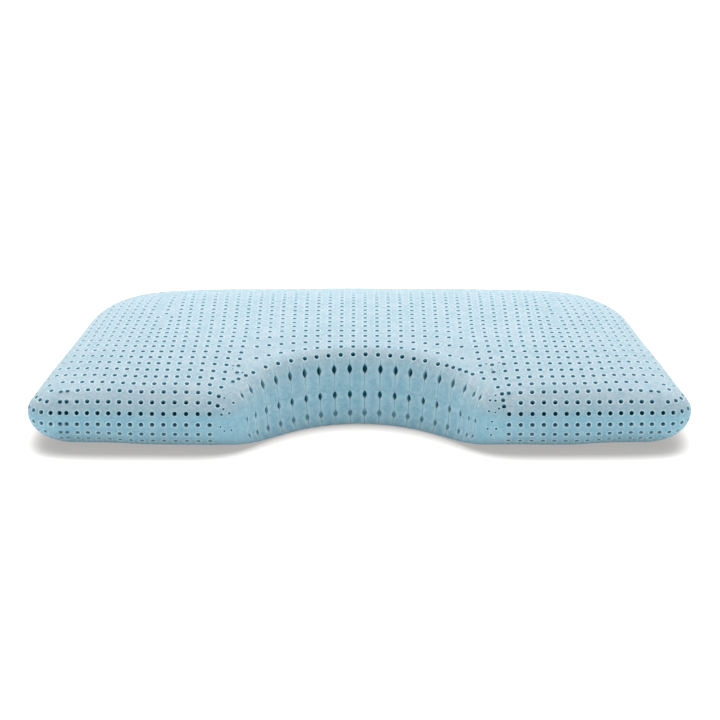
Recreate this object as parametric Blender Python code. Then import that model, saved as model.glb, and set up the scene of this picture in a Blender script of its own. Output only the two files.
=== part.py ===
"""Moulded foam pillow with a crescent taken out of its front for the shoulder.

Metres, +Z up, +X along the pillow's width, -Y towards the sleeper's shoulder.
The origin is the middle of the underside.
"""
import math

import bmesh
import bpy
from mathutils import Matrix, Vector
from mathutils.geometry import delaunay_2d_cdt

# Driving sizes of the moulded block
WIDTH = 0.660
DEPTH = 0.352
LOFT = 0.083
PARTING = 0.0395
TAPER = 0.18
BACK_BOW = 0.012
FRONT_BOW = 0.003

# Plan radii of the widest line
FRONT_CORNER = 0.031
BACK_CORNER = 0.090
SMALLEST_CORNER = 0.010

# Crescent for the shoulder, at the widest line
RECESS_DEPTH = 0.0885
RECESS_HALF = 0.1465
MOUTH_RADIUS = 0.043

# Edge rounding, measured inwards from the widest line
TOP_EDGE = 0.024
UNDER_EDGE = 0.048
RECESS_UNDER_EDGE = 0.008
CORNER_SHARE = 0.55

# Fullness of the edge: 2 is an ellipse, more is a flatter wall with a tighter rim
OUTER_FULLNESS = 2.0
LOBE_UNDER_FULLNESS = 2.5
WALL_FULLNESS = 2.8
WALL_UNDER_FULLNESS = 5.0

# The wall of the crescent leans back, and takes its full shape this far in from the mouth
WALL_LEAN = 0.10
WALL_START = 0.05
WALL_BLEND = 0.6

# The fuller underside of the lobes ends this far out, over this width
LOBE_END = 0.215
LOBE_FADE = 0.06

# Crown of the top, and how far it sinks towards the rim of the crescent
CROWN_RISE = 0.0250
CROWN_REACH = 0.138
RIM_FALL = 0.0032
RIM_REACH = 0.048

# Pin holes in the top, at twice the pitch of the real ones
PIN_PITCH = 0.0244
PIN_RADIUS = 0.0022
PIN_DEPTH = 0.012
PIN_SIDES = 6
PIN_FIRST_ROW = 0.040
PIN_FIRST_COLUMN = 0.0061
PIN_MARGIN = 0.005

# Almond-shaped holes in the wall of the crescent: height of the middle, half height
SLOT_PITCH = 0.0151
SLOT_COLUMNS = 16
SLOT_FIRST = -0.1144
SLOT_HALF_WIDTH = 0.0023
SLOT_SHOULDER = 0.25
SLOT_DEPTH = 0.012
SLOT_ROWS = ((0.0590, 0.0050), (0.0325, 0.0042), (0.0135, 0.0037))

# Fineness of the mesh
OUTLINE_STEPS = {
    "crescent": 9,
    "mouth": 6,
    "front": 4,
    "front_corner": 5,
    "side": 6,
    "back_corner": 7,
    "back": 7,
}
TOP_RINGS = 6
UNDER_RINGS = 5
CROWN_GRID = 0.036
GRID_MARGIN = 0.016
MERGE_DISTANCE = 1e-6
SHARP_ANGLE = 50.0

FOAM_COLOUR = (0.50, 0.71, 0.78, 1.0)
FOAM_ROUGHNESS = 0.92

# The widest line is drawn this wide at the front, so that the taper leaves WIDTH at the corners
FRONT_SPAN = WIDTH / (1 - TAPER * FRONT_CORNER / DEPTH)

# The crescent's arc runs into the arcs of its mouth
MOUTH_DROP = RECESS_DEPTH - MOUTH_RADIUS
CRESCENT_RADIUS = (RECESS_HALF ** 2 + MOUTH_DROP ** 2 - MOUTH_RADIUS ** 2) / (2 * RECESS_DEPTH)
CRESCENT_CENTRE = RECESS_DEPTH - CRESCENT_RADIUS
EDGE_HEIGHT = LOFT - PARTING
EDGE_RISE = EDGE_HEIGHT - CROWN_RISE

# Halfway between the foremost points, beside the crescent, and the back
MIDDLE_Y = (DEPTH + FRONT_BOW * (2 * RECESS_HALF / FRONT_SPAN) ** 2) / 2


def clear_scene():
    for thing in list(bpy.data.objects):
        bpy.data.objects.remove(thing, do_unlink=True)


def foam_material():
    material = bpy.data.materials.new("foam")
    material.use_nodes = True
    shader = material.node_tree.nodes["Principled BSDF"]
    shader.inputs["Base Color"].default_value = FOAM_COLOUR
    shader.inputs["Roughness"].default_value = FOAM_ROUGHNESS
    shader.inputs["Metallic"].default_value = 0.0
    return material


def smooth(share):
    share = min(max(share, 0.0), 1.0)
    return share * share * (3.0 - 2.0 * share)


def arc(centre_x, centre_y, radius, start, end, steps):
    """Points along an arc, without its last one."""
    points = []
    for step in range(steps):
        angle = start + (end - start) * step / steps
        points.append((centre_x + radius * math.cos(angle), centre_y + radius * math.sin(angle)))
    return points


def line(start, end, steps):
    """Points along a straight run, without its last one."""
    points = []
    for step in range(steps):
        share = step / steps
        points.append((start[0] + (end[0] - start[0]) * share, start[1] + (end[1] - start[1]) * share))
    return points


def outline(edge, rim):
    """Plan outline moved inwards by edge, or by rim in the crescent. The front lies at y = 0."""
    front_corner = max(FRONT_CORNER - CORNER_SHARE * edge, SMALLEST_CORNER)
    back_corner = BACK_CORNER - CORNER_SHARE * edge
    mouth = MOUTH_RADIUS - CORNER_SHARE * edge
    right = FRONT_SPAN / 2 - edge
    back = DEPTH - edge
    crescent = CRESCENT_RADIUS + rim
    mouth_y = edge + mouth
    mouth_x = math.sqrt((crescent + mouth) ** 2 - (mouth_y - CRESCENT_CENTRE) ** 2)
    turn = math.atan2(mouth_y - CRESCENT_CENTRE, mouth_x)
    quarter = math.pi / 2
    steps = OUTLINE_STEPS
    half = arc(0.0, CRESCENT_CENTRE, crescent, quarter, turn, steps["crescent"])
    half += arc(mouth_x, mouth_y, mouth, turn + math.pi, 3 * quarter, steps["mouth"])
    front_x, front_y = right - front_corner, edge + front_corner
    back_x, back_y = right - back_corner, back - back_corner
    half += line((mouth_x, edge), (front_x, edge), steps["front"])
    half += arc(front_x, front_y, front_corner, -quarter, 0.0, steps["front_corner"])
    half += line((right, front_y), (right, back_y), steps["side"])
    half += arc(back_x, back_y, back_corner, 0.0, quarter, steps["back_corner"])
    half += line((back_x, back), (0.0, back), steps["back"])
    middle_back = [(0.0, back)]
    other_half = [(-x, y) for x, y in reversed(half[1:])]
    return half + middle_back + other_half


def shaped(x, y):
    """Narrow the block towards its back, bow its long sides and centre it on the origin."""
    back = min(max(y / DEPTH, 0.0), 1.0)
    across = (2.0 * x / FRONT_SPAN) ** 2
    narrowed = x * (1.0 - TAPER * back)
    bowed = y + FRONT_BOW * across * (1.0 - back) - BACK_BOW * across * back
    return (narrowed, bowed - MIDDLE_Y)


def reach(distance):
    share = min(max(distance / CROWN_REACH, 0.0), 1.0)
    return 1.0 - (1.0 - share) ** 2


def from_centre(x, y):
    """Distance from the crescent's centre."""
    return math.hypot(x, y - CRESCENT_CENTRE)


def crown_height(x, y):
    """Height of the top above the widest line, away from the edges."""
    full = reach(FRONT_SPAN / 2 - abs(x)) * reach(y) * reach(DEPTH - y)
    behind_rim = from_centre(x, y) - CRESCENT_RADIUS - TOP_EDGE
    return EDGE_RISE + CROWN_RISE * full - RIM_FALL * (1 - smooth(behind_rim / RIM_REACH))


def by_the_mouth(x, y):
    """1 on the front of each lobe beside the crescent, falling to 0 at its outer corner."""
    if y >= RECESS_DEPTH:
        return 0.0
    return 1 - smooth((abs(x) - LOBE_END) / LOBE_FADE)


def in_crescent(x, y):
    """1 on the wall of the crescent, falling to 0 at its mouth."""
    if abs(x) > RECESS_HALF or y > 2 * RECESS_DEPTH:
        return 0.0
    return smooth((y / RECESS_DEPTH - WALL_START) / WALL_BLEND)


def blended(first, second, share):
    return first + (second - first) * share


def edge_turn(turn, fullness):
    """How far in and how far up or down the rounded edge has come, as shares of its full size."""
    cosine = max(math.cos(turn), 0.0)
    sine = math.sin(turn)
    size = (cosine ** fullness + sine ** fullness) ** (1.0 / fullness)
    return 1.0 - cosine / size, sine / size


def upper_point(outer, inner, turn):
    """A point of the edge above the widest line."""
    wall = in_crescent(*outer)
    inwards, upwards = edge_turn(turn, blended(OUTER_FULLNESS, WALL_FULLNESS, wall))
    inwards = blended(inwards, upwards, wall * WALL_LEAN * EDGE_HEIGHT / TOP_EDGE)
    x = blended(outer[0], inner[0], inwards)
    y = blended(outer[1], inner[1], inwards)
    return (*shaped(x, y), PARTING + crown_height(x, y) * upwards)


def lower_point(outer, inner, turn):
    """A point of the edge below the widest line; the leaning wall comes forward here."""
    wall = in_crescent(*outer)
    fullness = blended(OUTER_FULLNESS, LOBE_UNDER_FULLNESS, by_the_mouth(*outer))
    inwards, downwards = edge_turn(turn, blended(fullness, WALL_UNDER_FULLNESS, wall))
    forward = wall * downwards * WALL_LEAN * PARTING / from_centre(*outer)
    x = blended(outer[0], inner[0], inwards) - outer[0] * forward
    y = blended(outer[1], inner[1], inwards) - (outer[1] - CRESCENT_CENTRE) * forward
    return (*shaped(x, y), PARTING * (1.0 - downwards))


def add_ring(mesh, points):
    return [mesh.verts.new(point) for point in points]


def join_rings(mesh, lower, upper):
    count = len(lower)
    for index in range(count):
        after = (index + 1) % count
        mesh.faces.new((lower[index], lower[after], upper[after], upper[index]))


def inside(point, loop):
    """Even-odd test of a plan point against a closed loop."""
    x, y = point
    within = False
    for (ax, ay), (bx, by) in zip(loop, loop[1:] + loop[:1]):
        if (ay > y) != (by > y) and x < ax + (bx - ax) * (y - ay) / (by - ay):
            within = not within
    return within


def clearance(point, loop):
    """Distance from a plan point to the nearest corner of a loop."""
    return min(math.dist(point, corner) for corner in loop)


def crown_grid(loop):
    """Plan points spread over the top inside a loop."""
    points = []
    across = int(WIDTH / 2 / CROWN_GRID)
    along = int(DEPTH / CROWN_GRID)
    for column in range(-across, across + 1):
        for row in range(along + 1):
            point = (column * CROWN_GRID, row * CROWN_GRID)
            if inside(point, loop) and clearance(point, loop) > GRID_MARGIN:
                points.append(point)
    return points


def fill_top(mesh, ring, loop):
    """Close the top with a crowned net of triangles."""
    grid = crown_grid(loop)
    plan = [Vector(point) for point in loop + grid]
    edges = [(index, (index + 1) % len(loop)) for index in range(len(loop))]
    _, _, faces, _, _, _ = delaunay_2d_cdt(plan, edges, [], 1, MERGE_DISTANCE)
    verts = list(ring)
    for x, y in grid:
        verts.append(mesh.verts.new((*shaped(x, y), PARTING + crown_height(x, y))))
    for face in faces:
        mesh.faces.new([verts[index] for index in face])


def foam_block():
    """The moulded block as one closed mesh."""
    mesh = bmesh.new()
    outer = outline(0.0, 0.0)
    top_inner = outline(TOP_EDGE, TOP_EDGE)
    under_inner = outline(UNDER_EDGE, RECESS_UNDER_EDGE)
    quarter = math.pi / 2
    widest = add_ring(mesh, [(*shaped(x, y), PARTING) for x, y in outer])
    below = widest
    for step in range(1, TOP_RINGS + 1):
        turn = quarter * step / TOP_RINGS
        ring = add_ring(mesh, [upper_point(*pair, turn) for pair in zip(outer, top_inner)])
        join_rings(mesh, below, ring)
        below = ring
    fill_top(mesh, below, top_inner)
    above = widest
    for step in range(1, UNDER_RINGS + 1):
        turn = quarter * step / UNDER_RINGS
        ring = add_ring(mesh, [lower_point(*pair, turn) for pair in zip(outer, under_inner)])
        join_rings(mesh, ring, above)
        above = ring
    mesh.faces.new(list(reversed(above)))
    bmesh.ops.recalc_face_normals(mesh, faces=mesh.faces)
    return mesh


def add_prism(mesh, section, placing, depth):
    """A prism on a closed section, running along its own Z from -depth to +depth."""
    bottom = [mesh.verts.new(placing @ Vector((x, y, -depth))) for x, y in section]
    top = [mesh.verts.new(placing @ Vector((x, y, depth))) for x, y in section]
    join_rings(mesh, bottom, top)
    mesh.faces.new(list(reversed(bottom)))
    mesh.faces.new(top)


def round_section():
    return arc(0.0, 0.0, PIN_RADIUS, 0.0, 2 * math.pi, PIN_SIDES)


def almond_section(half_height):
    """A pointed section, long along its own Y."""
    wide = SLOT_HALF_WIDTH
    shoulder = half_height * SLOT_SHOULDER
    return [(0.0, -half_height), (wide, -shoulder), (wide, shoulder),
            (0.0, half_height), (-wide, shoulder), (-wide, -shoulder)]


def crown_pins(mesh):
    """Upright pins over the top, in square rows and columns."""
    loop = outline(TOP_EDGE + PIN_MARGIN, TOP_EDGE + PIN_MARGIN)
    section = round_section()
    columns = int(WIDTH / 2 / PIN_PITCH)
    rows = int(DEPTH / PIN_PITCH)
    for column in range(columns):
        x = PIN_FIRST_COLUMN + column * PIN_PITCH
        for row in range(rows):
            y = PIN_FIRST_ROW + row * PIN_PITCH
            if not inside((x, y), loop):
                continue
            for side in (-1, 1):
                height = PARTING + crown_height(x, y)
                placing = Matrix.Translation((*shaped(side * x, y), height))
                add_prism(mesh, section, placing, PIN_DEPTH)


def crescent_pins(mesh):
    """Level almond-shaped pins that fan out from the crescent's centre."""
    for column in range(SLOT_COLUMNS):
        turn = math.pi / 2 - (SLOT_FIRST + column * SLOT_PITCH) / CRESCENT_RADIUS
        x = CRESCENT_RADIUS * math.cos(turn)
        y = CRESCENT_CENTRE + CRESCENT_RADIUS * math.sin(turn)
        facing = Vector((math.cos(turn), math.sin(turn), 0.0))
        turned = facing.to_track_quat("Z", "Y").to_matrix().to_4x4()
        for height, half_height in SLOT_ROWS:
            placing = Matrix.Translation((*shaped(x, y), height)) @ turned
            add_prism(mesh, almond_section(half_height), placing, SLOT_DEPTH)


def make_object(name, mesh):
    data = bpy.data.meshes.new(name)
    mesh.to_mesh(data)
    mesh.free()
    thing = bpy.data.objects.new(name, data)
    bpy.context.collection.objects.link(thing)
    return thing


def pin_cutters():
    """All the mould pins as one helper object."""
    mesh = bmesh.new()
    crown_pins(mesh)
    crescent_pins(mesh)
    bmesh.ops.recalc_face_normals(mesh, faces=mesh.faces)
    cutters = make_object("mould_pins", mesh)
    cutters.hide_render = True
    cutters.display_type = "WIRE"
    return cutters


def build():
    clear_scene()
    core = make_object("foam_core", foam_block())
    core.data.materials.append(foam_material())
    core.data.shade_smooth()
    core.data.set_sharp_from_angle(angle=math.radians(SHARP_ANGLE))
    holes = core.modifiers.new("pin_holes", "BOOLEAN")
    holes.operation = "DIFFERENCE"
    holes.solver = "EXACT"
    holes.object = pin_cutters()


build()
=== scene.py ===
"""Looks of the moulded foam pillow: its perforated skin, its foam and a plain studio.

Metres, +Z up, +X along the pillow's width, -Y towards the shoulder recess.
The skin is laid out on a plan, the map. Inside the flat of the top or the underside the map is the
plan itself, and outside it the rounded edge is unrolled outwards, down to the mould's parting line.
"""
import math

import bpy
import numpy as np
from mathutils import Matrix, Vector
from mathutils.geometry import delaunay_2d_cdt
from mathutils.kdtree import KDTree


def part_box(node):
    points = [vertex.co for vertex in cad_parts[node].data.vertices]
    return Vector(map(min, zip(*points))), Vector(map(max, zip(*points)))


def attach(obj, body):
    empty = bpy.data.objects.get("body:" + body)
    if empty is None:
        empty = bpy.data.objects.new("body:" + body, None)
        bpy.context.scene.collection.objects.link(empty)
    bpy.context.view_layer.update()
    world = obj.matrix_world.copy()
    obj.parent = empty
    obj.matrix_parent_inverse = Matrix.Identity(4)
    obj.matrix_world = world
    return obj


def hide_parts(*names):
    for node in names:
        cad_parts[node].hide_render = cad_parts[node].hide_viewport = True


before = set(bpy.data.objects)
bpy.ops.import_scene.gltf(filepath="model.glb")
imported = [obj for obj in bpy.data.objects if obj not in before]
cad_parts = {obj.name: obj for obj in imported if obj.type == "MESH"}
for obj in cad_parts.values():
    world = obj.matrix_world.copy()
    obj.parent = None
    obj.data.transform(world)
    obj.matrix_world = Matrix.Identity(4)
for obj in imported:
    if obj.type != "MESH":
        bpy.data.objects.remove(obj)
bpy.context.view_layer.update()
LOW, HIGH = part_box("foam_core")

MM = 0.001

# The block, as the frame has it
WIDTH = HIGH.x - LOW.x
LOFT = HIGH.z
PARTING = 0.0395
TAPER = 0.18
BACK_BOW = 0.012
FRONT_BOW = 0.003
FRONT_CORNER = 0.031
BACK_CORNER = 0.090
SMALLEST_CORNER = 0.010
RECESS_DEPTH = 0.0885
RECESS_HALF = 0.1465
MOUTH_RADIUS = 0.043
TOP_EDGE = 0.024
UNDER_EDGE = 0.048
RECESS_UNDER_EDGE = 0.008
CORNER_SHARE = 0.55
CROWN_RISE = 0.0250
CROWN_REACH = 0.138

# The top sinks a little towards the rim of the crescent, whose wall leans back
RIM_FALL = 0.0032
RIM_REACH = 0.048
WALL_LEAN = 0.10

# Fullness of the edge: 2 is an ellipse, more is a flatter wall with a tighter rim
OUTER_FULLNESS = 2.0
LOBE_UNDER_FULLNESS = 2.5
WALL_FULLNESS = 2.8
WALL_UNDER_FULLNESS = 5.0

FRONT_SPAN = WIDTH / (1 - TAPER * FRONT_CORNER / 0.352)
FOREMOST = FRONT_BOW * (2 * RECESS_HALF / FRONT_SPAN) ** 2
DEPTH = HIGH.y - LOW.y + FOREMOST
MIDDLE_Y = (DEPTH + FOREMOST) / 2
CRESCENT_RADIUS = (RECESS_HALF ** 2 + (MOUTH_RADIUS - RECESS_DEPTH) ** 2 - MOUTH_RADIUS ** 2) / (2 * RECESS_DEPTH)
CRESCENT_CENTRE = RECESS_DEPTH - CRESCENT_RADIUS
EDGE_RISE = LOFT - PARTING - CROWN_RISE
EDGE_HEIGHT = LOFT - PARTING

# Fineness of the tables that the skin is read from
OUTLINE_POINTS = {"crescent": 320, "mouth": 90, "front": 160, "front_corner": 70, "side": 260,
                  "back_corner": 150, "back": 240}
PROFILE_POINTS = 160
PROFILE_STEPS = 80

# Pin holes
PITCH = 12.2 * MM
PIN_SIDES = 10
SKIRT_RADIUS = 3.8 * MM
SKIRT_SHARE = 0.86
LIP_RADIUS = 2.75 * MM
PIN_RADIUS = 2.25 * MM
PIN_FLOOR = 1.9 * MM
PIN_DEPTH = 8.0 * MM
LIP_RISE = 0.12 * MM
LIP_DROP = 0.35 * MM
LEAST_GAP = 8.2 * MM

# Towards the back of the top the pins grow small and shallow
BACK_FADE_FROM = 0.085
BACK_FADE_OVER = 0.06

# Turns of the search for a ring's points on the map, and its longest step
RING_TURNS = 3
RING_STEP = 6.0 * MM

# Rows of pins in the rounded edge: distance from the parting line along the skin
TOP_ROWS = (5.0, 16.7, 28.5, 40.4)
TOP_ROW_STEP = 12.15 * MM
UNDER_ROWS = (6.6, 18.1, 29.5, 41.0, 52.5)
CORNER_PITCH = 10.3 * MM
CORNER_START = {1: -3.4 * MM, -1: 1.3 * MM}
DOUBLED_COLUMN = 296.2 * MM
ROW_LIFTS = (0.5, 1.2, 5.0)
ROW_LIFT_FROM = 0.21
ROW_LIFT_OVER = 0.06

# Columns beside the crescent: they lose their lean within this reach, and the outer ones narrow backwards
LEAN_REACH = 0.15
NARROWING = 0.42
NARROWED_FROM = 14.0
NARROWED_OVER = 5.0

# Outside this column the rows bend back, so that they look level from the front, a little above
LEVEL_COLUMN = 0.20
SIGHT_SINE = 0.343
SIGHT_COSINE = 0.939
OUTER_ROW_SHIFT = 3.6 * MM

SKIN_STEP = 4.1 * MM
SKIN_CLEAR = 4.9 * MM
SEAM_STEP = 3.7 * MM
SEAM_ROWS = (1.6 * MM, 0.9 * MM, 0.4 * MM, 0.0)


def smooth(share):
    share = np.clip(share, 0.0, 1.0)
    return share * share * (3.0 - 2.0 * share)


def arc(centre_x, centre_y, radius, start, end, steps):
    """Points along an arc, without its last one."""
    angles = start + (end - start) * np.arange(steps) / steps
    return np.column_stack((centre_x + radius * np.cos(angles), centre_y + radius * np.sin(angles)))


def line(start, end, steps):
    """Points along a straight run, without its last one."""
    share = (np.arange(steps) / steps)[:, None]
    return np.array(start) * (1 - share) + np.array(end) * share


def outline(edge, rim):
    """Plan outline moved inwards by edge, or by rim in the crescent. The front lies at y = 0."""
    front_corner = max(FRONT_CORNER - CORNER_SHARE * edge, SMALLEST_CORNER)
    back_corner = BACK_CORNER - CORNER_SHARE * edge
    mouth = MOUTH_RADIUS - CORNER_SHARE * edge
    right = FRONT_SPAN / 2 - edge
    back = DEPTH - edge
    crescent = CRESCENT_RADIUS + rim
    mouth_y = edge + mouth
    mouth_x = math.sqrt((crescent + mouth) ** 2 - (mouth_y - CRESCENT_CENTRE) ** 2)
    turn = math.atan2(mouth_y - CRESCENT_CENTRE, mouth_x)
    quarter = math.pi / 2
    steps = OUTLINE_POINTS
    half = np.concatenate((
        arc(0.0, CRESCENT_CENTRE, crescent, quarter, turn, steps["crescent"]),
        arc(mouth_x, mouth_y, mouth, turn + math.pi, 3 * quarter, steps["mouth"]),
        line((mouth_x, edge), (right - front_corner, edge), steps["front"]),
        arc(right - front_corner, edge + front_corner, front_corner, -quarter, 0.0, steps["front_corner"]),
        line((right, edge + front_corner), (right, back - back_corner), steps["side"]),
        arc(right - back_corner, back - back_corner, back_corner, 0.0, quarter, steps["back_corner"]),
        line((right - back_corner, back), (0.0, back), steps["back"]),
    ))
    other_half = half[:0:-1] * (-1, 1)
    return np.concatenate((half, [(0.0, back)], other_half))


def shaped(plan):
    """Narrow the block towards its back, bow its long sides and centre it on the origin."""
    x, y = plan[..., 0], plan[..., 1]
    back = np.clip(y / DEPTH, 0.0, 1.0)
    across = (2.0 * x / FRONT_SPAN) ** 2
    bowed = y + FRONT_BOW * across * (1.0 - back) - BACK_BOW * across * back
    return np.stack((x * (1.0 - TAPER * back), bowed - MIDDLE_Y), axis=-1)


def unshaped(place):
    """The plan point that shaped() moves to each place."""
    plan = place + (0.0, MIDDLE_Y)
    for _ in range(8):
        plan = plan + place - shaped(plan)
    return plan


def reach(distance):
    share = np.clip(distance / CROWN_REACH, 0.0, 1.0)
    return 1.0 - (1.0 - share) ** 2


def crown_height(x, y):
    """Height of the top above the widest line, away from the edges."""
    full = reach(FRONT_SPAN / 2 - np.abs(x)) * reach(y) * reach(DEPTH - y)
    behind_rim = np.hypot(x, y - CRESCENT_CENTRE) - CRESCENT_RADIUS - TOP_EDGE
    return EDGE_RISE + CROWN_RISE * full - RIM_FALL * (1 - smooth(behind_rim / RIM_REACH))


def by_the_mouth(x, y):
    """1 on the front of each lobe beside the crescent, falling to 0 at its outer corner and on the sides."""
    return (1 - smooth((np.abs(x) - 0.215) / 0.06)) * (y < RECESS_DEPTH)


def in_crescent(x, y):
    """1 on the wall of the crescent, falling to 0 at its mouth."""
    here = (np.abs(x) <= RECESS_HALF) & (y <= 2 * RECESS_DEPTH)
    return np.where(here, smooth((y / RECESS_DEPTH - 0.05) / 0.6), 0.0)


class Skin:
    """One half of the skin, above or below the parting line, with its map."""

    def __init__(self, top):
        self.top = top
        outer = outline(0.0, 0.0)
        inner = outline(TOP_EDGE, TOP_EDGE) if top else outline(UNDER_EDGE, RECESS_UNDER_EDGE)
        self.count = len(outer)
        self.ring = shaped(inner)
        widest = shaped(outer)
        steps = np.linalg.norm(np.roll(widest, -1, axis=0) - widest, axis=1)
        self.along = np.concatenate(([0.0], np.cumsum(steps)))
        self.widest = widest
        ahead = np.roll(self.ring, -1, axis=0) - np.roll(self.ring, 1, axis=0)
        self.step = np.linalg.norm(ahead, axis=1) / 2
        self.ahead = ahead / np.linalg.norm(ahead, axis=1)[:, None]
        self.out = np.column_stack((self.ahead[:, 1], -self.ahead[:, 0]))
        before, after = np.roll(self.ahead, 1, axis=0), np.roll(self.ahead, -1, axis=0)
        turned = before[:, 0] * after[:, 1] - before[:, 1] * after[:, 0]
        self.bend = turned / (2 * self.step)
        self.tree = KDTree(self.count)
        for index, (x, y) in enumerate(self.ring):
            self.tree.insert((x, y, 0.0), index)
        self.tree.balance()
        self.roll_edge(outer, inner)

    def roll_edge(self, outer, inner):
        """Tables of the rounded edge: places and facings, evenly spaced from the parting line up or down."""
        wall = in_crescent(outer[:, 0], outer[:, 1])
        if self.top:
            fullness = OUTER_FULLNESS + (WALL_FULLNESS - OUTER_FULLNESS) * wall
        else:
            lobe = by_the_mouth(outer[:, 0], outer[:, 1])
            fullness = OUTER_FULLNESS + (LOBE_UNDER_FULLNESS - OUTER_FULLNESS) * lobe
            fullness += (WALL_UNDER_FULLNESS - fullness) * wall
        fullness = fullness[:, None]
        turn = np.linspace(0.0, math.pi / 2, PROFILE_POINTS + 1)[None, :]
        cosine = np.clip(np.cos(turn), 0.0, 1.0)
        sine = np.sin(turn)
        size = (cosine ** fullness + sine ** fullness) ** (1 / fullness)
        inwards = 1.0 - cosine / size
        upwards = sine / size
        lean = wall[:, None] * upwards
        if self.top:
            inwards = inwards + (upwards - inwards) * wall[:, None] * WALL_LEAN * EDGE_HEIGHT / TOP_EDGE
        inwards = inwards[..., None]
        plan = outer[:, None, :] * (1 - inwards) + inner[:, None, :] * inwards
        if not self.top:
            radial = outer - (0.0, CRESCENT_CENTRE)
            radial = radial / np.linalg.norm(radial, axis=1)[:, None]
            plan = plan - radial[:, None, :] * (lean * WALL_LEAN * PARTING)[..., None]
        if self.top:
            height = PARTING + crown_height(plan[..., 0], plan[..., 1]) * upwards
        else:
            height = PARTING * (1.0 - upwards)
        places = np.concatenate((shaped(plan), height[..., None]), axis=-1)
        lengths = np.linalg.norm(np.diff(places, axis=1), axis=2)
        arcs = np.concatenate((np.zeros((self.count, 1)), np.cumsum(lengths, axis=1)), axis=1)
        self.length = arcs[:, -1]
        shares = np.linspace(0.0, 1.0, PROFILE_STEPS + 1)
        edge = np.empty((self.count, PROFILE_STEPS + 1, 3))
        for index in range(self.count):
            for axis in range(3):
                wanted = shares * self.length[index]
                edge[index, :, axis] = np.interp(wanted, arcs[index], places[index, :, axis])
        sideways = np.roll(edge, -1, axis=0) - np.roll(edge, 1, axis=0)
        upward = np.gradient(edge, axis=1)
        facing = np.cross(sideways, upward)
        if not self.top:
            facing = -facing
        self.edge = edge
        self.facing = facing / np.linalg.norm(facing, axis=2)[..., None]

    def read(self, table, index, share):
        """A table of the rounded edge, read between its points."""
        low = np.floor(index).astype(int)
        side = (index - low)[:, None]
        near, far = low % self.count, (low + 1) % self.count
        row = np.clip(share, 0.0, 1.0) * PROFILE_STEPS
        base = np.minimum(row.astype(int), PROFILE_STEPS - 1)
        rise = (row - base)[:, None]
        first = table[near, base] * (1 - rise) + table[near, base + 1] * rise
        second = table[far, base] * (1 - rise) + table[far, base + 1] * rise
        return first * (1 - side) + second * side

    def read_line(self, values, index):
        low = np.floor(index).astype(int)
        side = index - low
        if values.ndim == 2:
            side = side[:, None]
        return values[low % self.count] * (1 - side) + values[(low + 1) % self.count] * side

    def locate(self, points):
        """Where map points lie: index along the ring, distance outside it."""
        find = self.tree.find
        nearest = np.array([find((x, y, 0.0))[1] for x, y in points])
        away = points - self.ring[nearest]
        slide = np.einsum("ij,ij->i", away, self.ahead[nearest]) / self.step[nearest]
        outside = np.einsum("ij,ij->i", away, self.out[nearest])
        spread = np.maximum(1.0 + self.bend[nearest] * outside, 0.2)
        index = nearest + np.clip(slide / spread, -0.6, 0.6)
        return index, outside

    def arc_at(self, points):
        """(distance along the parting line, distance from it along the skin) of map points."""
        index, outside = self.locate(points)
        along = np.interp(index % self.count, np.arange(self.count + 1), self.along)
        return along, self.read_line(self.length, index) - outside

    def flat(self, points):
        """Places and facings of the top's crown, or of the flat underside."""
        if not self.top:
            places = np.column_stack((points, np.zeros(len(points))))
            return places, np.tile((0.0, 0.0, -1.0), (len(points), 1))

        def height(place):
            plan = unshaped(place)
            return PARTING + crown_height(plan[:, 0], plan[:, 1])

        tiny = 0.3 * MM
        slope_x = (height(points + (tiny, 0)) - height(points - (tiny, 0))) / (2 * tiny)
        slope_y = (height(points + (0, tiny)) - height(points - (0, tiny))) / (2 * tiny)
        facing = np.column_stack((-slope_x, -slope_y, np.ones(len(points))))
        facing /= np.linalg.norm(facing, axis=1)[:, None]
        return np.column_stack((points, height(points))), facing

    def at(self, points):
        """Places and facings of map points on the smooth skin."""
        index, outside = self.locate(points)
        places, facing = self.flat(points)
        rolled = outside > 0
        index, outside = index[rolled], outside[rolled]
        share = 1.0 - outside / self.read_line(self.length, index)
        places[rolled] = self.read(self.edge, index, share)
        facing[rolled] = self.read(self.facing, index, share)
        return places + facing * (swell(places) * off_the_floor(places))[:, None], facing

    def unroll(self, index, distance):
        """Map points at a distance from the parting line along the skin."""
        outside = self.read_line(self.length, index) - distance
        return self.read_line(self.ring, index) + self.read_line(self.out, index) * outside[:, None]

    def index_at(self, along):
        return np.interp(along, self.along, np.arange(self.count + 1))


def swell(places):
    """Slight unevenness of moulded foam, in metres along its facing."""
    x, y, z = places[:, 0], places[:, 1], places[:, 2]
    broad = np.sin(31 * x + 9 * z + 0.7) * np.sin(37 * y - 11 * z + 1.9) + np.sin(53 * x - 41 * y + 2.6)
    fine = np.sin(190 * x + 70 * y) * np.sin(170 * y - 130 * z + 0.4)
    return (0.16 * broad + 0.05 * fine) * MM


def off_the_floor(places):
    """0 on the flat underside, rising to 1 just above it."""
    return smooth(places[:, 2] / (4 * MM))


class Shell:
    """Collects one half's points, faces, and for each point its painted pore shade and its painted highlight."""

    def __init__(self, skin):
        self.skin = skin
        self.map = []
        self.loops = []
        self.slots = []
        self.places = []
        # Painted shade of each point, deepening into the holes and slots; 0 on the open skin
        self.depths = []
        # Painted highlight of each point: lighter lip rings round the holes and slots, and along the parting
        # line's ridge
        self.painted_highlights = []
        self.faces = []
        self.count = 0

    def add(self, places, depth, painted_highlight=0.0):
        """Adds points off the skin and returns their numbers."""
        start = self.count
        self.places.append(places)
        self.depths.append(np.full(len(places), depth))
        self.painted_highlights.append(np.full(len(places), painted_highlight))
        self.count += len(places)
        return np.arange(start, self.count)


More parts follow.
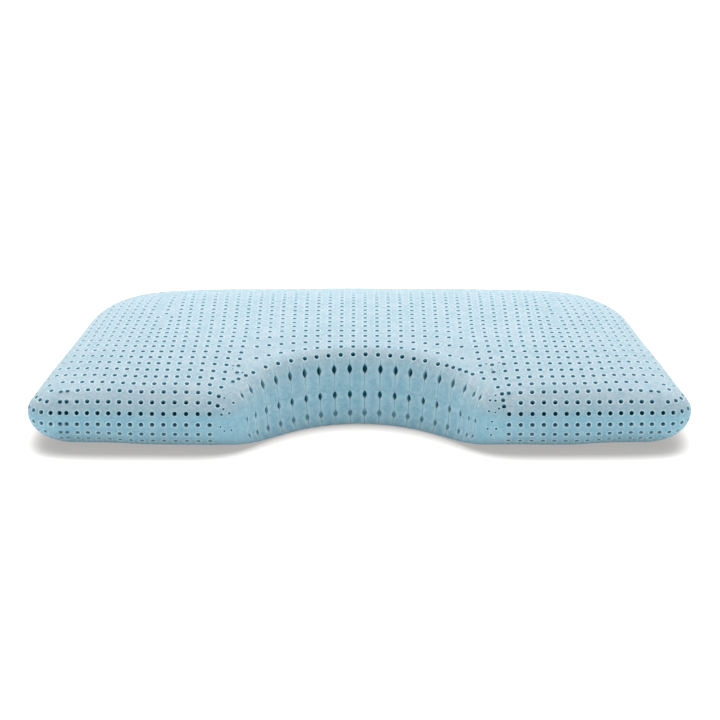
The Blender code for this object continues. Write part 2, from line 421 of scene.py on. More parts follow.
def slopes(skin, points):
    """How the skin's places move for a step along the map's x and along its y."""
    tiny = 0.4 * MM
    right, _ = skin.at(points + (tiny, 0))
    left, _ = skin.at(points - (tiny, 0))
    up, _ = skin.at(points + (0, tiny))
    down, _ = skin.at(points - (0, tiny))
    return (right - left) / (2 * tiny), (up - down) / (2 * tiny)


def dot(first, second):
    return np.einsum("ij,ij->i", first, second)


def ring_on(skin, centres, radii, sides):
    """Map points of a true circle round each centre: an array of centres, sides, 2."""
    by_x, by_y = slopes(skin, centres)
    spots, _ = skin.at(centres)
    first = by_x / np.linalg.norm(by_x, axis=1)[:, None]
    second = by_y - first * dot(by_y, first)[:, None]
    second /= np.linalg.norm(second, axis=1)[:, None]
    angles = np.tile(2 * math.pi * np.arange(sides) / sides, len(centres))
    first, second, spots, by_x, by_y, points, sizes = (
        np.repeat(values, sides, axis=0) for values in (first, second, spots, by_x, by_y, centres, radii))
    along = sizes * np.cos(angles)
    across = sizes * np.sin(angles)
    for turn in range(RING_TURNS):
        if turn:
            by_x, by_y = slopes(skin, points)
            away = skin.at(points)[0] - spots
            short_along, short_across = along - dot(away, first), across - dot(away, second)
        else:
            short_along, short_across = along, across
        a, b = dot(by_x, first), dot(by_y, first)
        c, d = dot(by_x, second), dot(by_y, second)
        size = a * d - b * c
        step = np.column_stack((d * short_along - b * short_across, a * short_across - c * short_along))
        points = points + np.clip(step / size[:, None], -RING_STEP, RING_STEP)
    return points.reshape(-1, sides, 2)


class Layout:
    """Chosen pin holes of one half: map centres that keep apart from each other on the skin."""

    def __init__(self, skin):
        self.skin = skin
        self.centres = []
        self.spots = []
        self.scales = []
        self.shallow = []
        self.fades = []

    def place(self, points, gap=LEAST_GAP, scale=1.0, depth=PIN_DEPTH, inside=4.8 * MM):
        if not len(points):
            return
        points = np.asarray(points)
        _, arcs = self.skin.arc_at(points)
        spots, _ = self.skin.at(points)
        for point, spot, arc_length in zip(points, spots, arcs):
            if arc_length < inside:
                continue
            fade = 1 - smooth((spot[1] - BACK_FADE_FROM) / BACK_FADE_OVER) * self.skin.top
            if self.spots and np.min(np.linalg.norm(np.array(self.spots) - spot, axis=1)) < gap:
                continue
            self.centres.append(point)
            self.spots.append(spot)
            self.scales.append(scale * (0.6 + 0.4 * fade))
            self.shallow.append(depth * (0.15 + 0.85 * fade))
            self.fades.append(fade)


def column_lean(number):
    """How far a column stands outside its place in the square grid, near the front."""
    past = number - 12.5
    return (7.2 - 0.656 * past - 0.06 * past ** 2) * MM


def front_columns():
    """X of the columns on each front lobe, from the mouth outwards."""
    numbers = np.arange(11, 25) + 0.5
    return numbers * PITCH + column_lean(numbers)


def column_places(numbers, row):
    """X of the columns beside the crescent in a row of the top: the outer ones narrow with the block."""
    from_front = row + MIDDLE_Y
    lean = column_lean(numbers)
    straight = numbers * PITCH + lean * (1 - smooth(from_front / LEAN_REACH))
    narrowed = (numbers * PITCH + lean) * (1 - NARROWING * max(from_front, 0.0))
    share = smooth((numbers - NARROWED_FROM) / NARROWED_OVER)
    return straight * (1 - share) + narrowed * share


def level_row(row, columns):
    """Y of a row of the top where it runs level to the eye, although the crown falls to the sides."""
    def height(x, y):
        plan = unshaped(np.column_stack((x, y)))
        return crown_height(plan[:, 0], plan[:, 1])

    start = np.full(len(columns), row)
    wanted = start * SIGHT_SINE + height(np.minimum(columns, LEVEL_COLUMN), start) * SIGHT_COSINE
    y = start
    for _ in range(8):
        y = (wanted - height(columns, y) * SIGHT_COSINE) / SIGHT_SINE
    back = OUTER_ROW_SHIFT * smooth((columns - ROW_LIFT_FROM) / ROW_LIFT_OVER)
    return np.where(columns > LEVEL_COLUMN, np.maximum(y, start), start) + back


def indices_on(skin, segment_start, segment_end, start, step):
    """Ring indices spaced by step along the parting line, within part of the outline."""
    low = skin.along[segment_start]
    high = skin.along[segment_end]
    alongs = np.arange(low + start, high, step)
    return skin.index_at(alongs)


def segment_ends():
    """First outline index of each stretch of the right half, then the far end."""
    names = list(OUTLINE_POINTS)
    ends = {}
    total = 0
    for name in names:
        ends[name] = total
        total += OUTLINE_POINTS[name]
    ends["middle_back"] = total
    return ends


def mirrored(points):
    points = np.asarray(points)
    return np.concatenate((points, points * (-1, 1)))


def lobe_index(skin, x, distance):
    """Ring indices on the right lobe where the skin has this x, at a distance from the parting line."""
    ends = segment_ends()
    stretch = np.arange(ends["mouth"] + 45, ends["front_corner"] + 45)
    places = skin.read(skin.edge, stretch.astype(float), distance / skin.length[stretch])
    return np.interp(x, places[:, 0], stretch)


def edge_rows(skin, layout, rows):
    """Rows of pins round the rounded edge, apart from the crescent and its mouth."""
    ends = segment_ends()
    columns = front_columns()
    outer = smooth((columns - ROW_LIFT_FROM) / ROW_LIFT_OVER) * skin.top
    for order, row in enumerate(rows):
        lift = ROW_LIFTS[min(order, len(ROW_LIFTS) - 1)] * MM
        distances = row * MM + lift * outer
        if skin.top and order == len(ROW_LIFTS):
            columns, distances = columns[columns < LEVEL_COLUMN], distances[columns < LEVEL_COLUMN]
        lobe = np.array([lobe_index(skin, x, distance) for x, distance in zip(columns, distances)])
        layout.place(mirrored(skin.unroll(lobe, distances)), gap=6.3 * MM)
        distance = distances[-1:]
        double = lobe_index(skin, np.array([DOUBLED_COLUMN]), distance)
        layout.place(skin.unroll(double, distance) * (-1, 1), gap=6.3 * MM)
        for side, start in CORNER_START.items():
            corner = indices_on(skin, ends["front_corner"], ends["side"], start, CORNER_PITCH)
            points = skin.unroll(corner, np.full(len(corner), distance[0]))
            layout.place(points * (side, 1), gap=7.4 * MM)


def round_the_back(skin, layout, row):
    ends = segment_ends()
    length = skin.along[ends["middle_back"]] - skin.along[ends["side"]]
    steps = int(length / PITCH)
    alongs = skin.along[ends["side"]] + (np.arange(steps) + 0.5) * length / steps
    around = skin.index_at(alongs)
    layout.place(mirrored(skin.unroll(around, np.full(len(around), row * MM))))


def lobe_lines(skin):
    """Distance of each row of the top from the front, read along a lobe by arc length."""
    plan_y = np.linspace(TOP_EDGE, DEPTH - TOP_EDGE, 1500)
    plan = np.column_stack((np.full(1500, 0.20), plan_y))
    place = shaped(plan)
    heights = crown_height(plan[:, 0], plan[:, 1])
    steps = np.hypot(np.diff(place[:, 1]), np.diff(heights))
    index = lobe_index(skin, np.array([0.20]), 0.0)
    edge = skin.read_line(skin.length, index)[0]
    arcs = edge + np.concatenate(([0.0], np.cumsum(steps)))
    last = TOP_ROWS[-1] * MM
    wanted = last + TOP_ROW_STEP * np.arange(40)
    return np.interp(wanted, arcs, place[:, 1], right=np.nan)


# Runs of evenly spaced pins along the rim of the crescent, in millimetres: place of the first along the
# parting line from its middle, step, count, distance of the first above the line, rise from pin to pin
RIM_RUNS = ((-136.5, 8.5, 4, 37.8, -0.7),
            (-96.0, 14.0, 3, 36.4, -0.5),
            (-53.5, 11.9, 11, 34.8, 0.0),
            (79.5, 9.5, 2, 34.6, 1.3),
            (96.3, 7.3, 4, 36.0, 0.6),
            (130.0, 0.0, 1, 39.8, 0.0))
RIM_PINS = [(first + step * number, above + rise * number)
            for first, step, count, above, rise in RIM_RUNS for number in range(count)]

# Pins of the odd short column beside the mouth, left and right: along and above the parting line
BESIDE_MOUTH = ((-170.5, 13.5), (-166.5, 24.0), (-158.0, 35.5),
                (174.0, 13.0), (171.5, 20.0), (168.0, 27.5), (158.5, 36.0))


def scattered(seed, count, middle, spread, sizes):
    """Small pores strewn over an oval: two coordinates in millimetres and a share of a pin's size."""
    draw = np.random.default_rng(seed)
    turns = draw.uniform(0.0, 2 * math.pi, count)
    away = np.sqrt(draw.uniform(0.0, 1.0, count))
    across = middle[0] + spread[0] * away * np.cos(turns)
    up = middle[1] + spread[1] * away * np.sin(turns)
    return list(zip(across, up, draw.uniform(sizes[0], sizes[1], count)))


# Stray pores round each mouth, along and above the parting line, and on the top beside it, in x and y
STRAY_PORES = (scattered(3, 24, (-161.5, 2.0), (11.0, 25.0), (0.45, 0.65))
               + scattered(5, 22, (162.5, 2.0), (8.0, 25.0), (0.45, 0.65)))
TOP_STRAYS = (scattered(8, 10, (131.0, -116.0), (15.0, 11.0), (0.35, 0.55))
              + scattered(9, 7, (-126.0, -116.0), (14.0, 13.0), (0.35, 0.55)))

# The first row behind the rim bends with it; rows further back bend less
FIRST_ROW = -69.5 * MM
ROW_BEND = 2.7
BEND_FADE = 0.028
BENT_REACH = 0.112


def index_along(skin, column):
    """Ring index at a distance in millimetres along the parting line from the middle of the recess."""
    return float(skin.index_at(np.array([(column * MM) % skin.along[-1]]))[0])


def place_marks(skin, layout, marks, gap, depth, lift=1):
    """Pins given by distance along the parting line and distance above it, in millimetres."""
    for mark in marks:
        index = np.array([index_along(skin, mark[0])])
        point = skin.unroll(index, np.array([mark[1] * lift * MM]))
        scale = mark[2] if len(mark) > 2 else 1.0
        layout.place(point, gap=gap, scale=scale, depth=depth, inside=2.1 * MM + scale * LIP_RADIUS)


def dropped(skin, place):
    """The map point of the top skin straight above a place, near the crescent's rim."""
    side = 1 if place[0] >= 0 else -1
    stretch = segment_ends()["front"]
    table = skin.edge[:stretch, PROFILE_STEPS // 2:, :2]
    away = np.linalg.norm(table - (abs(place[0]), place[1]), axis=2)
    index, row = np.unravel_index(np.argmin(away), away.shape)
    share = (row + PROFILE_STEPS // 2) / PROFILE_STEPS
    point = skin.unroll(np.array([float(index)]), np.array([skin.length[index] * share]))[0]
    return point * (side, 1)


def near_rim(skin, points):
    """Moves plan places beside the crescent to the map, and leaves out those over its wall."""
    index, outside = skin.locate(points)
    index = np.minimum(index, skin.count - index)
    kept = []
    for point, number, distance in zip(points, index, outside):
        if distance < 0:
            kept.append(point)
        elif number > segment_ends()["front"]:
            kept.append(point)
        else:
            moved = dropped(skin, point)
            arc_length = skin.arc_at(moved[None, :])[1][0]
            if arc_length > 41 * MM:
                kept.append(moved)
    return np.array(kept).reshape(-1, 2)


def crown_rows(skin, layout):
    rows = lobe_lines(skin)
    rows = rows[~np.isnan(rows)]
    rows = np.concatenate((rows, rows[-1] + TOP_ROW_STEP * np.arange(1, 5)))
    numbers = np.arange(28) + 0.5
    columns = numbers * PITCH
    behind = rows[rows > FIRST_ROW - PITCH / 2]
    behind += FIRST_ROW - behind[0]
    for row in behind:
        x = columns[columns < BENT_REACH]
        bend = ROW_BEND * x ** 2 * math.exp(-(row - FIRST_ROW) / BEND_FADE)
        points = np.column_stack((x, row - bend))
        layout.place(near_rim(skin, mirrored(points)))
    for row in rows:
        x = column_places(numbers[columns > BENT_REACH], row)
        points = np.column_stack((x, level_row(row, x)))
        layout.place(near_rim(skin, mirrored(points)))


def strays(side):
    """The stray pores above (1) or below (-1) the parting line."""
    return [pore for pore in STRAY_PORES if pore[1] * side > 0]


def top_layout(skin):
    layout = Layout(skin)
    place_marks(skin, layout, RIM_PINS, 5.8 * MM, 5 * MM)
    place_marks(skin, layout, BESIDE_MOUTH, 5.8 * MM, 5 * MM)
    edge_rows(skin, layout, TOP_ROWS)
    round_the_back(skin, layout, TOP_ROWS[0])
    crown_rows(skin, layout)
    place_marks(skin, layout, strays(1), 5.0 * MM, 2 * MM)
    for x, y, scale in TOP_STRAYS:
        layout.place(near_rim(skin, np.array([(x * MM, y * MM)])), gap=4.8 * MM, scale=scale, depth=2.5 * MM)
    return layout


def under_layout(skin):
    layout = Layout(skin)
    edge_rows(skin, layout, UNDER_ROWS)
    place_marks(skin, layout, strays(-1), 5.0 * MM, 2 * MM, -1)
    for row in UNDER_ROWS:
        round_the_back(skin, layout, row)
    columns = (np.arange(28) + 0.5) * PITCH
    rows = -MIDDLE_Y + np.arange(32) * PITCH
    for row in rows:
        points = np.column_stack((columns, np.full(len(columns), row)))
        _, outside = skin.locate(points)
        layout.place(mirrored(points[outside < 0]), gap=9.5 * MM)
    return layout


# Columns of slots in the wall of the crescent: distances along the parting line to both sides of their middle
SLOT_MIDDLE = -2.0
SLOT_OFFSETS = (7.5, 23.0, 38.5, 54.0, 70.5, 87.5, 105.0, 122.0, 136.5, 146.0)
SLOT_COLUMNS = ([SLOT_MIDDLE - offset for offset in SLOT_OFFSETS[:-1]]
                + [SLOT_MIDDLE + offset for offset in SLOT_OFFSETS])
SLOTS_FADE_FROM = 105.0 * MM
SLOTS_FADE_OVER = 50.0 * MM

# Almonds of one column: distance from the parting line, half length, half width, depth
TOP_ALMONDS = ((19.8, 5.2, 2.4, 8.0),)
UNDER_ALMONDS = ((6.6, 4.3, 2.15, 5.0), (26.0, 4.0, 2.2, 1.7))
SLIT = 0.17 * MM
SLIT_DEPTH = 0.6 * MM
SLIT_END = {True: 30.0 * MM, False: 40.5 * MM}
SLOT_TIP = 0.10 * MM
SLOT_LIP = 0.35 * MM
ALMOND_STATIONS = (-1.0, -0.8, -0.5, -0.17, 0.17, 0.5, 0.8, 1.0)


def slot_stations(skin, strength):
    """Stations along one column of slots: (distance from the parting line, half width, depth)."""
    almonds = TOP_ALMONDS if skin.top else UNDER_ALMONDS
    stations = [(2.1 * MM, SLOT_TIP, SLIT_DEPTH)]

    def add_slit(finish):
        begin = stations[-1][0]
        count = max(int((finish - begin) / (4 * MM)), 0) + 1
        for step in range(1, count):
            stations.append((begin + (finish - begin) * step / count, SLIT, SLIT_DEPTH))

    for middle, half, wide, deep in almonds:
        half, wide = half * MM * strength, wide * MM * strength
        middle = middle * MM - 4 * MM * (1 - strength) * skin.top
        add_slit(middle - half)
        for share in ALMOND_STATIONS:
            swollen = (1 - share * share) ** 1.15
            width = SLIT + (wide - SLIT) * swollen
            stations.append((middle + share * half, width, SLIT_DEPTH + deep * MM * swollen))
    far = stations[-1][0] + (SLIT_END[skin.top] - stations[-1][0]) * strength ** 2
    add_slit(far)
    stations.append((far, SLOT_TIP, SLIT_DEPTH))
    return np.array(stations)


def slot_loop(skin, column, stations, extra, ends):
    """Closed loop of map points round one column of slots, up its right side and down its left."""
    arcs, widths = stations[:, 0].copy(), stations[:, 1] + extra
    arcs[0] -= ends
    arcs[-1] += ends
    middle = np.full(len(arcs), index_along(skin, column))
    share = arcs / skin.read_line(skin.length, middle)
    ahead = skin.read(skin.edge, middle + 1, share) - skin.read(skin.edge, middle - 1, share)
    turned = widths * 2 / np.linalg.norm(ahead, axis=1)
    right = skin.unroll(middle + turned, arcs)
    left = skin.unroll(middle - turned, arcs)
    return np.concatenate((right, left[::-1]))


def add_slots(shell):
    """Almond-shaped holes joined by a fine slit, in columns round the wall of the crescent."""
    skin = shell.skin
    order = slice(None) if skin.top else slice(None, None, -1)
    for column in SLOT_COLUMNS:
        strength = 1 - 0.5 * smooth((abs(column) * MM - SLOTS_FADE_FROM) / SLOTS_FADE_OVER)
        stations = slot_stations(skin, strength)
        count = len(stations)
        depths = np.concatenate((stations[:, 2], stations[::-1, 2]))[order][:, None]
        lip = slot_loop(skin, column, stations, SLOT_LIP, 0.3 * MM)[order]
        rim_places, rim_facing = skin.at(slot_loop(skin, column, stations, 0.0, 0.0)[order])
        deep_places, deep_facing = skin.at(slot_loop(skin, column, stations, -0.06 * MM, -0.1 * MM)[order])
        # Painted highlight on the slot's lip (0.35) and its rim (0.5)
        numbers = add_loop(shell, lip, 0.35)
        shell.slots.append(lip)
        # Painted shade in the slot: 0.4 at its rim, and darker further down where the slot is deeper
        rim = shell.add(rim_places - rim_facing * 0.25 * MM, 0.4, 0.5)
        shade = np.clip((depths[:, 0] - SLIT_DEPTH) / (2.8 * MM), 0.25, 1.0)
        deep = shell.add(deep_places - deep_facing * depths, shade)
        join(shell, numbers, rim)
        join(shell, rim, deep)
        if not skin.top:
            deep = deep[::-1]
        for step in range(count - 1):
            quad = (deep[step], deep[step + 1], deep[2 * count - 2 - step], deep[2 * count - 1 - step])
            shell.faces.append(quad if skin.top else quad[::-1])


def add_loop(shell, points, painted_highlight=0.0):
    """Adds a closed loop of map points to the skin's map and returns their numbers."""
    start = shell.count
    shell.map.append((start, points))
    places, _ = shell.skin.at(points)
    numbers = shell.add(places, 0.0, painted_highlight)
    shell.loops.append(numbers)
    return numbers


def join(shell, outer, inner):
    count = len(outer)
    for step in range(count):
        after = (step + 1) % count
        shell.faces.append((outer[step], outer[after], inner[after], inner[step]))


def add_pins(shell, layout):
    """Every round pin hole: a slightly raised lip on the skin, a softly turned rim and a blind bore."""
    skin = shell.skin
    centres = np.array(layout.centres)
    scales = np.array(layout.scales)
    skirts = skirt_radii(layout)

    def laid(points):
        places, facings = skin.at(points.reshape(-1, 2))
        return places.reshape(-1, PIN_SIDES, 3), facings.reshape(-1, PIN_SIDES, 3)

    _, facing = skin.at(centres)
    skirt = ring_on(skin, centres, skirts, PIN_SIDES)
    lip = ring_on(skin, centres, scales * LIP_RADIUS, PIN_SIDES)
    away = lip - centres[:, None, :]
    skirt_places, _ = laid(skirt)
    lip_places, lip_facing = laid(lip)
    rim_places, rim_facing = laid(centres[:, None, :] + away * PIN_RADIUS / LIP_RADIUS)
    floor_places, _ = laid(centres[:, None, :] + away * PIN_FLOOR / LIP_RADIUS)
    turn = 1 if skin.top else -1
    for number in range(len(centres)):
        size = min(scales[number], 1.0)
        down = -facing[number] * layout.shallow[number]
        outer = shell.add(skirt_places[number][::turn], 0.0)
        shell.map.append((outer[0], skirt[number][::turn]))
        shell.loops.append(outer)
        rise = LIP_RISE * size * off_the_floor(lip_places[number])[:, None]
        # Painted highlight: full on the lip ring, 0.4 on the rim below it
        lip = shell.add((lip_places[number] + lip_facing[number] * rise)[::turn], 0.0, 1.0)
        # Painted shade in the bore: full at its floor, about half at its rim, lighter for small pins and towards
        # the back of the top
        dark = (0.30 + 0.70 * layout.fades[number]) * (0.35 + 0.65 * size)
        rim = shell.add((rim_places - rim_facing * LIP_DROP * size)[number][::turn], 0.55 * dark, 0.4)
        floor = shell.add(floor_places[number][::turn] + down, dark)
        join(shell, outer, lip)
        join(shell, lip, rim)
        join(shell, rim, floor)
        shell.faces.append(tuple(floor))


def skirt_radii(layout):
    """Radius of the skin's ring round each lip, kept clear of its neighbours and of the parting line."""
    spots = np.array(layout.spots)
    tree = KDTree(len(spots))
    for number, spot in enumerate(spots):
        tree.insert(spot, number)
    tree.balance()
    nearest = np.array([tree.find_n(spot, 2)[1][2] for spot in spots])
    _, arcs = layout.skin.arc_at(np.array(layout.centres))
    scales = np.array(layout.scales)
    most = np.minimum(scales * SKIRT_RADIUS, arcs - SEAM_ROWS[0] - 0.25 * MM)
    beside = np.array([scales[tree.find_n(spot, 2)[1][1]] for spot in spots])
    share = nearest * scales / (scales + beside) * SKIRT_SHARE
    least = scales * LIP_RADIUS + 0.12 * MM
    return np.clip(share, least, np.maximum(most, least))


def add_seam(shell):
    """Rows of faces down to the parting line, which stands a little proud, and the inner closing face."""
    skin = shell.skin
    steps = int(skin.along[-1] / SEAM_STEP)
    alongs = np.arange(steps) * skin.along[-1] / steps
    index = skin.index_at(alongs)
    rows = []
    for distance in SEAM_ROWS:
        points = skin.unroll(index, np.full(steps, distance))
        places, facing = skin.at(points)
        if not rows:
            order = points if skin.top else points[::-1]
            numbers = add_loop(shell, order)
            rows.append(numbers if skin.top else numbers[::-1])
            continue
        inside = in_crescent(places[:, 0], places[:, 1] + MIDDLE_Y)
        proud = (0.12 + 0.14 * inside) * MM * math.exp(-(distance / (0.5 * MM)) ** 2)
        # Painted highlight along the proud parting line, stronger in the crescent
        painted_highlight = (0.08 + 0.14 * inside) * (distance < 0.3 * MM)
        if distance == 0.0:
            facing[:, 2] = 0.0
            places[:, 2] = PARTING
        rows.append(shell.add(places + facing * proud[:, None], 0.0, painted_highlight))
    for outer, inner in zip(rows[1:], rows):
        for step in range(steps):
            after = (step + 1) % steps
            quad = (outer[step], outer[after], inner[after], inner[step])
            shell.faces.append(quad if skin.top else quad[::-1])
    last = rows[-1]
    shell.faces.append(tuple(last[::-1]) if skin.top else tuple(last))
    return shell.loops[-1]


def away_from_slots(shell, points, least):
    """Which map points lie outside every slot and keep at least that far from its outline."""
    outline_points = np.concatenate([thicken(loop) for loop in shell.slots])
    owners = np.concatenate([np.full(4 * len(loop), number) for number, loop in enumerate(shell.slots)])
    tree = KDTree(len(outline_points))
    for number, (x, y) in enumerate(outline_points):
        tree.insert((x, y, 0.0), number)
    tree.balance()
    kept = np.ones(len(points), bool)
    for order, (x, y) in enumerate(points):
        _, number, distance = tree.find((x, y, 0.0))
        if distance < least:
            kept[order] = False
        elif distance < 4 * MM:
            kept[order] = not within((x, y), shell.slots[owners[number]])
    return kept


def thicken(loop):
    """A loop with three more points on each side, so that its corners stand close together."""
    after = np.roll(loop, -1, axis=0)
    return np.concatenate([loop * (1 - share) + after * share for share in (0.0, 0.25, 0.5, 0.75)])


def fill_points(shell, layout):
    """Map points spread over the skin between the holes."""
    skin = shell.skin
    centres = KDTree(len(layout.spots))
    for number, spot in enumerate(layout.spots):
        centres.insert(spot, number)
    centres.balance()
    across = np.arange(-100, 101) * SKIN_STEP
    x, y = np.meshgrid(across, across)
    grid = np.column_stack((x.ravel(), y.ravel()))
    grid = grid[(np.abs(grid[:, 1]) < 0.25)]
    _, arcs = skin.arc_at(grid)
    grid = grid[arcs > SEAM_ROWS[0] + 1.5 * MM]
    grid = grid[away_from_slots(shell, grid, 1.2 * MM)]
    places, _ = skin.at(grid)
    clear = np.array([centres.find(place)[2] for place in places]) > SKIN_CLEAR
    grid = grid[clear]
    start = shell.count
    shell.add(places[clear], 0.0)
    shell.map.append((start, grid))


def within(point, loop):
    x, y = point
    ax, ay = loop[:, 0], loop[:, 1]
    bx, by = np.roll(ax, -1), np.roll(ay, -1)
    crosses = (ay > y) != (by > y)
    rise = np.where(crosses, by - ay, 1.0)
    return bool(np.count_nonzero(crosses & (x < ax + (bx - ax) * (y - ay) / rise)) % 2)


def fill_skin(shell, seam):
    """Triangles over the map, apart from the inside of each hole."""
    numbers = np.concatenate([np.arange(start, start + len(points)) for start, points in shell.map])
    points = np.concatenate([points for _, points in shell.map])
    where = {number: order for order, number in enumerate(numbers)}
    owner = np.full(len(points), -1)
    edges = []
    loops = []
    for loop in shell.loops:
        places = [where[number] for number in loop]
        edges += list(zip(places, places[1:] + places[:1]))
        if loop is not seam:
            owner[places] = len(loops)
            loops.append(points[places])
    plan = [Vector((x * 1000, y * 1000)) for x, y in points]
    made, _, faces, origins, _, _ = delaunay_2d_cdt(plan, edges, [], 1, 1e-6)
    if not all(origins):
        raise ValueError("outlines of two holes cross on the map")
    back = [origin[0] for origin in origins]
    for face in faces:
        corners = [back[corner] for corner in face]
        own = owner[corners[0]]
        if own >= 0 and owner[corners[1]] == own and owner[corners[2]] == own:
            loop = loops[own]
            if len(loop) == PIN_SIDES or within(points[corners].mean(axis=0), loop):
                continue
        ordered = [int(numbers[corner]) for corner in corners]
        shell.faces.append(tuple(ordered if shell.skin.top else ordered[::-1]))


def make_half(name, top, material):
    skin = Skin(top)
    shell = Shell(skin)
    layout = top_layout(skin) if top else under_layout(skin)
    seam = add_seam(shell)
    add_slots(shell)
    add_pins(shell, layout)
    fill_points(shell, layout)
    fill_skin(shell, seam)
    mesh = bpy.data.meshes.new(name)
    places = np.concatenate(shell.places)
    mesh.from_pydata(places.tolist(), [], [tuple(int(n) for n in face) for face in shell.faces])
    mesh.validate()
    # Point attribute of painted shade in the pores and slots
    pore = mesh.attributes.new("pore", "FLOAT", "POINT")
    pore.data.foreach_set("value", np.concatenate(shell.depths).astype(np.float32))
    # Point attribute of painted highlight on lips and the parting line
    painted_highlight = mesh.attributes.new("painted_highlight", "FLOAT", "POINT")
    painted_highlight.data.foreach_set("value", np.concatenate(shell.painted_highlights).astype(np.float32))
    mesh.materials.append(material)
    mesh.shade_smooth()
    thing = bpy.data.objects.new(name, mesh)
    bpy.context.collection.objects.link(thing)
    print(name, "holes", len(layout.centres), "faces", len(mesh.polygons),
          "triangles", sum(len(p.vertices) - 2 for p in mesh.polygons))
    return thing


def node(tree, kind, **values):
    made = tree.nodes.new(kind)
    for name, value in values.items():
        setattr(made, name, value)
    return made


# Colours of the foam: its skin where it faces up, paler as painted light, and where it stands upright, darker and
# bluer as painted shade, the painted shade of its pores and the painted highlight of its lips
LIT_TOP_DARK = (0.172, 0.278, 0.328, 1)
LIT_TOP_LIGHT = (0.300, 0.354, 0.388, 1)
SHADED_WALL_DARK = (0.120, 0.273, 0.357, 1)
SHADED_WALL_LIGHT = (0.214, 0.365, 0.437, 1)
PORE_SHADE_COLOUR = (0.003, 0.135, 0.205, 1)
PAINTED_HIGHLIGHT_COLOUR = (0.417, 0.567, 0.625, 1)


def foam_material():
    """Pale aqua foam with a mottled, suede-like skin, with painted light where it faces up and painted shade
    where it stands upright, painted shade in the pores and a painted highlight on the lips.
    """
    material = bpy.data.materials.new("foam")
    material.use_nodes = True
    tree = material.node_tree
    shader = tree.nodes["Principled BSDF"]
    shader.inputs["Roughness"].default_value = 0.9
    shader.inputs["Sheen Weight"].default_value = 0.12
    shader.inputs["Sheen Roughness"].default_value = 0.6
    shader.inputs["Specular IOR Level"].default_value = 0.2
    link = tree.links.new
    coordinates = node(tree, "ShaderNodeTexCoord")

    def noise(scale, detail, rough=0.6):
        made = node(tree, "ShaderNodeTexNoise")
        made.inputs["Scale"].default_value = scale
        made.inputs["Detail"].default_value = detail
        made.inputs["Roughness"].default_value = rough
        link(coordinates.outputs["Object"], made.inputs["Vector"])
        return made.outputs["Fac"]

    def weigh(first, first_weight, second, second_weight):
        scaled = node(tree, "ShaderNodeMath", operation="MULTIPLY")
        scaled.inputs[1].default_value = first_weight
        total = node(tree, "ShaderNodeMath", operation="MULTIPLY_ADD")
        total.inputs[1].default_value = second_weight
        link(first, scaled.inputs[0])
        link(second, total.inputs[0])
        link(scaled.outputs[0], total.inputs[2])
        return total.outputs[0]

    def ramp(value, low, high, dark, light):
        made = node(tree, "ShaderNodeValToRGB")
        made.color_ramp.elements[0].position = low
        made.color_ramp.elements[0].color = dark
        made.color_ramp.elements[1].position = high
        made.color_ramp.elements[1].color = light
        link(value, made.inputs["Fac"])
        return made.outputs["Color"]

    def mixed(factor, first, second):
        made = node(tree, "ShaderNodeMix", data_type="RGBA")
        link(factor, made.inputs["Factor"])
        link(first, made.inputs["A"])
        if isinstance(second, tuple):
            made.inputs["B"].default_value = second
        else:
            link(second, made.inputs["B"])
        return made.outputs["Result"]

    coarse = weigh(noise(55.0, 3.0), 0.35, noise(210.0, 3.0, 0.65), 0.65)
    mottle = weigh(coarse, 0.55, noise(620.0, 2.0, 0.7), 0.45)
    # Painted light and shade: skin facing up takes the paler, lit colours, upright skin the darker, bluer, shaded
    # ones
    facing = node(tree, "ShaderNodeSeparateXYZ")
    link(coordinates.outputs["Normal"], facing.inputs[0])
    painted_light_share = ramp(facing.outputs["Z"], 0.12, 0.75, (0, 0, 0, 1), (1, 1, 1, 1))
    top = ramp(mottle, 0.40, 0.62, LIT_TOP_DARK, LIT_TOP_LIGHT)
    wall = ramp(mottle, 0.38, 0.64, SHADED_WALL_DARK, SHADED_WALL_LIGHT)
    skin = mixed(painted_light_share, wall, top)
    # Painted highlight: the skin is lightened towards the highlight colour on lips and the ridge
    painted_highlight = node(tree, "ShaderNodeAttribute", attribute_name="painted_highlight")
    weak = node(tree, "ShaderNodeMath", operation="MULTIPLY")
    weak.inputs[1].default_value = 0.8
    link(painted_highlight.outputs["Fac"], weak.inputs[0])
    with_painted_highlight = mixed(weak.outputs[0], skin, PAINTED_HIGHLIGHT_COLOUR)
    # Painted shade: the colour darkens towards the pore shade colour down each hole
    pore = node(tree, "ShaderNodeAttribute", attribute_name="pore")
    link(mixed(pore.outputs["Fac"], with_painted_highlight, PORE_SHADE_COLOUR), shader.inputs["Base Color"])
    bump = node(tree, "ShaderNodeBump")
    bump.inputs["Strength"].default_value = 0.4
    bump.inputs["Distance"].default_value = 0.0005
    link(weigh(noise(420.0, 3.0, 0.7), 0.5, noise(1500.0, 3.0, 0.7), 0.5), bump.inputs["Height"])
    link(bump.outputs["Normal"], shader.inputs["Normal"])
    return material


# Colours of the floor close to the foam, where an ambient occlusion node paints a contact shadow, and away from
# it: as lit, and of its own soft glow
FLOOR_SHADE = (0.20, 0.188, 0.180, 1)
FLOOR_WHITE = (0.93, 0.905, 0.88, 1)
GLOW_SHADE = (0.78, 0.755, 0.74, 1)
GLOW_WHITE = (1.0, 0.97, 0.95, 1)


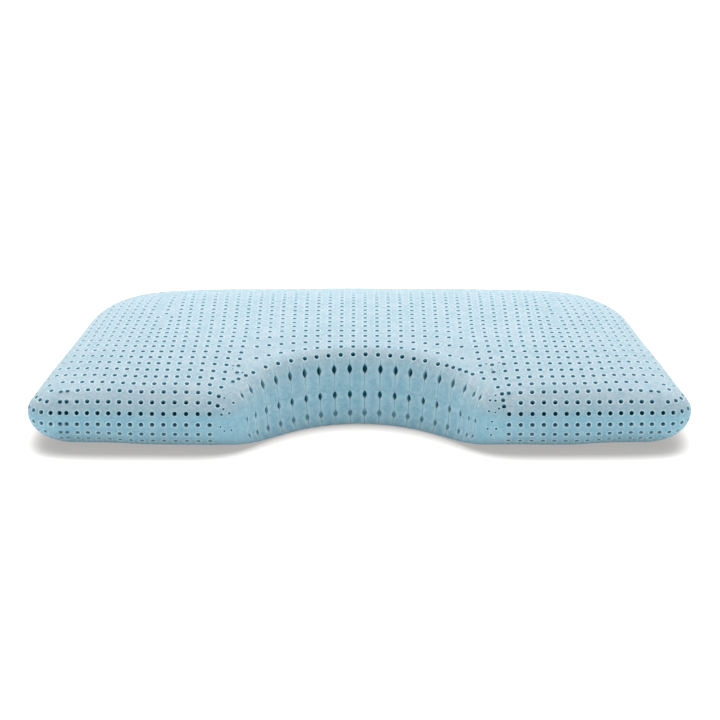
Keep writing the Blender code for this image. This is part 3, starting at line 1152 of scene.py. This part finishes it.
def floor_material():
    """White floor that glows a little, so that the shadow round the foam stays narrow and soft, with a painted
    contact shadow darkening its colour and glow close to the foam.
    """
    material = bpy.data.materials.new("white_floor")
    material.use_nodes = True
    tree = material.node_tree
    shader = tree.nodes["Principled BSDF"]
    shader.inputs["Roughness"].default_value = 0.8
    shader.inputs["Specular IOR Level"].default_value = 0.0
    shader.inputs["Emission Strength"].default_value = 0.5
    # Painted contact shadow: the floor's colour and glow darken where the foam is near
    near = node(tree, "ShaderNodeAmbientOcclusion", samples=16)
    near.inputs["Distance"].default_value = 0.060
    colours = (("Base Color", FLOOR_SHADE, FLOOR_WHITE), ("Emission Color", GLOW_SHADE, GLOW_WHITE))
    for socket, shade, plain in colours:
        ramp = node(tree, "ShaderNodeValToRGB")
        ramp.color_ramp.elements[0].position = 0.45
        ramp.color_ramp.elements[0].color = shade
        ramp.color_ramp.elements[1].position = 0.97
        ramp.color_ramp.elements[1].color = plain
        tree.links.new(near.outputs["AO"], ramp.inputs["Fac"])
        tree.links.new(ramp.outputs["Color"], shader.inputs[socket])
    return material


def add_floor():
    mesh = bpy.data.meshes.new("floor")
    size = 12.0
    mesh.from_pydata([(-size, -size, 0), (size, -size, 0), (size, size, 0), (-size, size, 0)], [], [(0, 1, 2, 3)])
    mesh.materials.append(floor_material())
    floor = bpy.data.objects.new("floor", mesh)
    floor.location.z = -0.0002
    bpy.context.collection.objects.link(floor)


def add_light(name, place, aim, size, power, colour=(1, 1, 1)):
    data = bpy.data.lights.new(name, "AREA")
    data.shape = "RECTANGLE"
    data.size, data.size_y = size
    data.energy = power
    data.color = colour
    light = bpy.data.objects.new(name, data)
    light.location = place
    light.rotation_euler = (Vector(aim) - Vector(place)).to_track_quat("-Z", "Y").to_euler()
    bpy.context.collection.objects.link(light)


def add_lights():
    world = bpy.context.scene.world or bpy.data.worlds.new("studio")
    bpy.context.scene.world = world
    world.use_nodes = True
    background = world.node_tree.nodes["Background"]
    background.inputs["Color"].default_value = (1.0, 1.0, 1.0, 1)
    background.inputs["Strength"].default_value = 0.57
    add_light("overhead", (0.0, 0.55, 2.2), (0, 0.2, 0), (2.6, 2.2), 88.0)
    add_light("front", (0.0, -3.4, 0.60), (0, 0, 0.03), (3.0, 0.8), 18.0)
    add_light("background", (0.0, 2.6, 2.4), (0, 2.2, 0), (4.0, 2.4), 100.0)
    bpy.context.scene.view_settings.view_transform = "Standard"


CAMERA_ELEVATION = 20.07
CAMERA_DISTANCE = 3.1317
CAMERA_LENS = 150.0
CAMERA_TARGET = (0.0, 0.0, 0.030)
# Pixel of the 720-pixel photograph where the target lies
TARGET_PIXEL = (359.3, 367.0)


def add_camera():
    data = bpy.data.cameras.new("camera")
    data.lens = CAMERA_LENS
    data.sensor_width = 36.0
    data.clip_end = 50.0
    data.shift_x = (360.0 - TARGET_PIXEL[0]) / 720.0
    data.shift_y = (TARGET_PIXEL[1] - 360.0) / 720.0
    camera = bpy.data.objects.new("camera", data)
    turn = math.radians(CAMERA_ELEVATION)
    target = Vector(CAMERA_TARGET)
    camera.location = target + Vector((0.0, -math.cos(turn), math.sin(turn))) * CAMERA_DISTANCE
    camera.rotation_euler = (math.pi / 2 - turn, 0.0, 0.0)
    bpy.context.collection.objects.link(camera)
    bpy.context.scene.camera = camera


def build():
    material = foam_material()
    for name, top in (("foam_upper", True), ("foam_lower", False)):
        half = make_half(name, top, material)
        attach(half, "root")
        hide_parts("foam_core")
    add_floor()
    add_lights()
    add_camera()


build()
